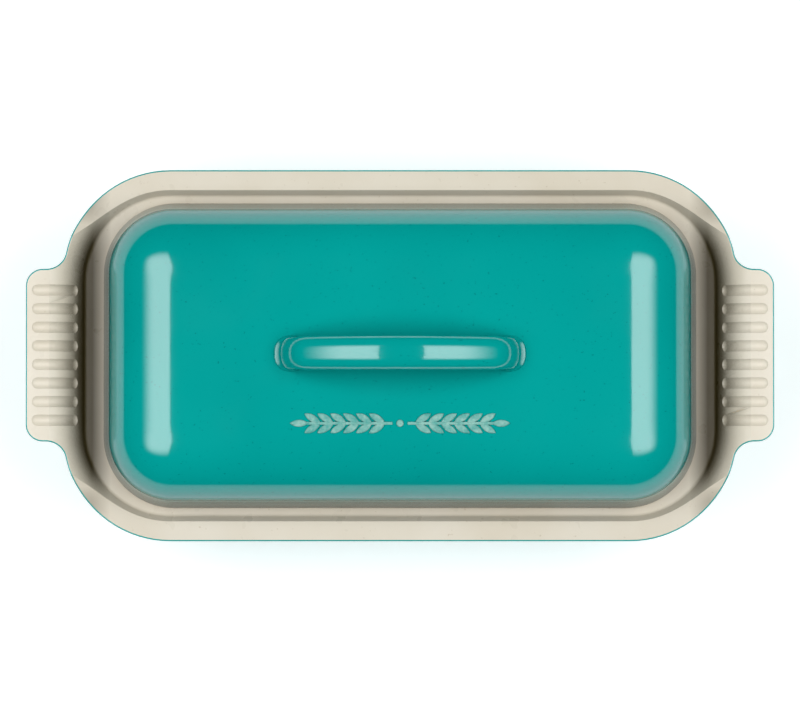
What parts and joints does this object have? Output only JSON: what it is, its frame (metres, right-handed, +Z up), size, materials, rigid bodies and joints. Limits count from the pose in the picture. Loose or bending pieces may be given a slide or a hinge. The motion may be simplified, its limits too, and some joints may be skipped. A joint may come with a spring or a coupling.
{
  "type": "covered loaf pan",
  "caption": "Glazed stoneware loaf pan with ribbed tab handles, a recessed seat for its domed lid, and a loop handle on the lid.",
  "frame": {"origin": "centre of the foot, on the surface the pan stands on", "axes": "+X along the pan's length through both tab handles, +Y across its width, +Z up through the lid"},
  "size_m": [0.318, 0.1584, 0.143],
  "materials": {
    "bare_clay": "matte, lightly textured, unglazed",
    "cream_glaze": "gloss",
    "turquoise_glaze": "gloss",
    "pale_turquoise_glaze": "gloss, glaze broken thin over raised clay"
  },
  "bodies": {
    "pan": {"pan_body": "bare_clay", "pan_liner_glaze": "cream_glaze", "pan_outer_glaze": "turquoise_glaze"},
    "lid": {"lid_body": "bare_clay", "lid_liner_glaze": "cream_glaze", "lid_outer_glaze": "turquoise_glaze", "lid_handle": "turquoise_glaze", "lid_relief": "pale_turquoise_glaze"}
  },
  "joints": [
    {"name": "lid_lift", "type": "slide", "parent": "pan", "child": "lid", "axis": [0, 0, 1], "range_m": [0, 0.11]}
  ]
}
